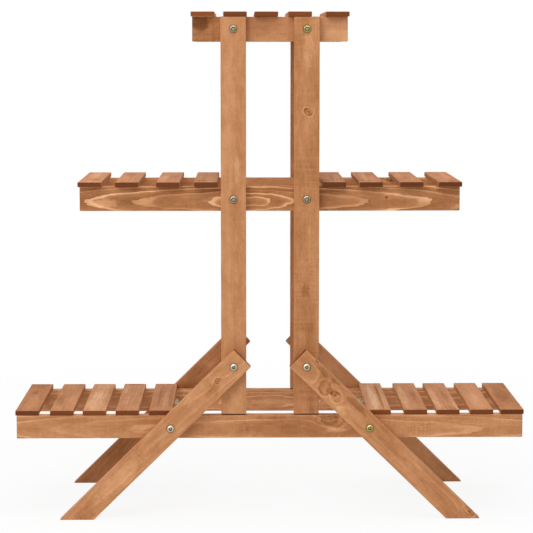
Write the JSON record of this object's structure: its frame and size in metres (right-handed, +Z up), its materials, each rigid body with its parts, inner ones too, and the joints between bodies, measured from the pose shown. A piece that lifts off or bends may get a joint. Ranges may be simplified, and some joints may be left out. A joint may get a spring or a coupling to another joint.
{
  "type": "tiered plant stand",
  "caption": "Free-standing stepped plant stand: slatted wooden decks on rails, bolted to tall uprights with slanting legs.",
  "frame": {"origin": "on the floor at the middle of the stand, midway between its four feet", "axes": "+Z up; +X along the rails to the right of a viewer in front; -Y towards that viewer"},
  "size_m": [0.83, 0.2578, 0.824],
  "materials": {
    "frame_wood": "satin honey-brown stain over planed softwood",
    "slat_wood": "satin honey-brown stain over planed softwood",
    "zinc": "bright zinc plate, some of it yellow-passivated"
  },
  "bodies": {
    "root": {"lower_rail_front": "frame_wood", "middle_rail_front": "frame_wood", "top_rail_front": "frame_wood", "upright_front_left": "frame_wood", "leg_front_left": "frame_wood", "bolt_top_rail_front_left": "zinc", "bolt_middle_rail_front_left": "zinc", "bolt_leg_upright_front_left": "zinc", "bolt_leg_rail_front_left": "zinc", "upright_front_right": "frame_wood", "leg_front_right": "frame_wood", "bolt_top_rail_front_right": "zinc", "bolt_middle_rail_front_right": "zinc", "bolt_leg_upright_front_right": "zinc", "bolt_leg_rail_front_right": "zinc", "lower_rail_back": "frame_wood", "middle_rail_back": "frame_wood", "top_rail_back": "frame_wood", "upright_back_left": "frame_wood", "leg_back_left": "frame_wood", "bolt_top_rail_back_left": "zinc", "bolt_middle_rail_back_left": "zinc", "bolt_leg_upright_back_left": "zinc", "bolt_leg_rail_back_left": "zinc", "upright_back_right": "frame_wood", "leg_back_right": "frame_wood", "bolt_top_rail_back_right": "zinc", "bolt_middle_rail_back_right": "zinc", "bolt_leg_upright_back_right": "zinc", "bolt_leg_rail_back_right": "zinc", "slat_lower_left_1": "slat_wood", "slat_lower_left_2": "slat_wood", "slat_lower_left_3": "slat_wood", "slat_lower_left_4": "slat_wood", "slat_lower_left_5": "slat_wood", "slat_lower_right_1": "slat_wood", "slat_lower_right_2": "slat_wood", "slat_lower_right_3": "slat_wood", "slat_lower_right_4": "slat_wood", "slat_lower_right_5": "slat_wood", "slat_middle_left_1": "slat_wood", "slat_middle_left_2": "slat_wood", "slat_middle_left_3": "slat_wood", "slat_middle_left_4": "slat_wood", "slat_middle_right_1": "slat_wood", "slat_middle_right_2": "slat_wood", "slat_middle_right_3": "slat_wood", "slat_middle_right_4": "slat_wood", "slat_top_1": "slat_wood", "slat_top_2": "slat_wood", "slat_top_3": "slat_wood", "slat_top_4": "slat_wood", "slat_top_5": "slat_wood"}
  },
  "joints": []
}
